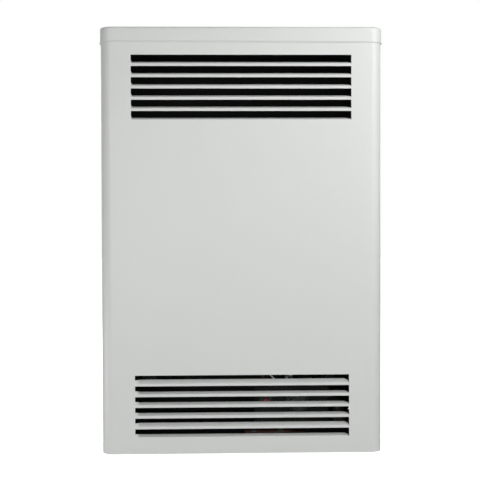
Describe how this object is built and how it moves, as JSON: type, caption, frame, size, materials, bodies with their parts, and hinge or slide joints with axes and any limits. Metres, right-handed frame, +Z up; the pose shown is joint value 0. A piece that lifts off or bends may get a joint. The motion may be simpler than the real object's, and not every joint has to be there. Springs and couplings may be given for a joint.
{
  "type": "wall mounted gas heater",
  "caption": "Upright direct-vent gas wall heater with a louvred steel casing that pulls off a chassis holding the heat exchanger, burner and gas controls.",
  "frame": {"origin": "on the wall plane, at the middle of the casing width and height, on the rear face of the back panel", "axes": "+Y into the wall, the front faces -Y; +Z up; +X to the right of someone facing the front"},
  "size_m": [0.4706, 0.3318, 0.702],
  "materials": {
    "powder_coat": "satin",
    "galvanised_steel": "satin",
    "black_heat_enamel": "matte",
    "cast_aluminium": "satin",
    "brass": "satin",
    "black_pipe": "satin",
    "aluminium_tube": "satin",
    "copper": "satin",
    "black_plastic": "satin",
    "red_plastic": "gloss",
    "ceramic": "gloss",
    "sight_glass": "gloss",
    "silicone_cable": "satin",
    "fibre_gasket": "matte",
    "spring_steel": "satin"
  },
  "bodies": {
    "chassis": {"wall_rail": "galvanised_steel", "back_panel": "galvanised_steel", "base_pan": "black_heat_enamel", "side_catch_left": "spring_steel", "side_catch_right": "spring_steel", "side_shield_left": "black_heat_enamel", "side_shield_right": "black_heat_enamel", "warm_air_deflector": "black_heat_enamel", "exchanger_front_shell": "black_heat_enamel", "exchanger_rear_shell": "black_heat_enamel", "exchanger_stay_lower_left": "galvanised_steel", "exchanger_stay_lower_right": "galvanised_steel", "exchanger_stay_upper_left": "galvanised_steel", "exchanger_stay_upper_right": "galvanised_steel", "air_collar": "galvanised_steel", "flue_collar": "galvanised_steel", "flue_gasket": "fibre_gasket", "air_box": "galvanised_steel", "air_duct": "galvanised_steel", "door_gasket": "fibre_gasket", "burner_door": "black_heat_enamel", "sight_glass": "sight_glass", "sight_bezel": "cast_aluminium", "burner_tube": "galvanised_steel", "burner_bracket": "galvanised_steel", "orifice_elbow": "brass", "control_plate": "black_heat_enamel", "gas_valve_body": "cast_aluminium", "regulator_cap": "black_plastic", "piezo_body": "black_plastic", "piezo_nut": "black_plastic", "gas_supply_pipe": "black_pipe", "union_nut": "black_pipe", "manifold_pipe": "aluminium_tube", "pilot_bracket": "galvanised_steel", "pilot_tube": "aluminium_tube", "pilot_hood": "galvanised_steel", "thermocouple": "copper", "spark_electrode": "ceramic", "ignition_cable": "silicone_cable", "thermostat_bulb": "copper", "bulb_clip_left": "spring_steel", "bulb_clip_right": "spring_steel"},
    "casing": {"front_jacket": "powder_coat", "top_cap": "powder_coat"},
    "knob_shaft": {"valve_stem": "brass"},
    "knob": {"gas_knob": "black_plastic"},
    "igniter_button": {"piezo_button": "red_plastic"}
  },
  "joints": [
    {"name": "casing_pull", "type": "slide", "parent": "chassis", "child": "casing", "axis": [0, -1, 0], "range_m": [0, 0.3]},
    {"name": "knob_turn", "type": "hinge", "parent": "chassis", "child": "knob_shaft", "pos_m": [0.1, -0.19, -0.2849], "axis": [0, -1, 0], "range_deg": [0, 270]},
    {"name": "knob_push", "type": "slide", "parent": "knob_shaft", "child": "knob", "axis": [0, 1, 0], "range_m": [0, 0.004], "stiffness_N_per_m": 800},
    {"name": "igniter_push", "type": "slide", "parent": "chassis", "child": "igniter_button", "axis": [0, 1, 0], "range_m": [0, 0.006], "stiffness_N_per_m": 700}
  ]
}
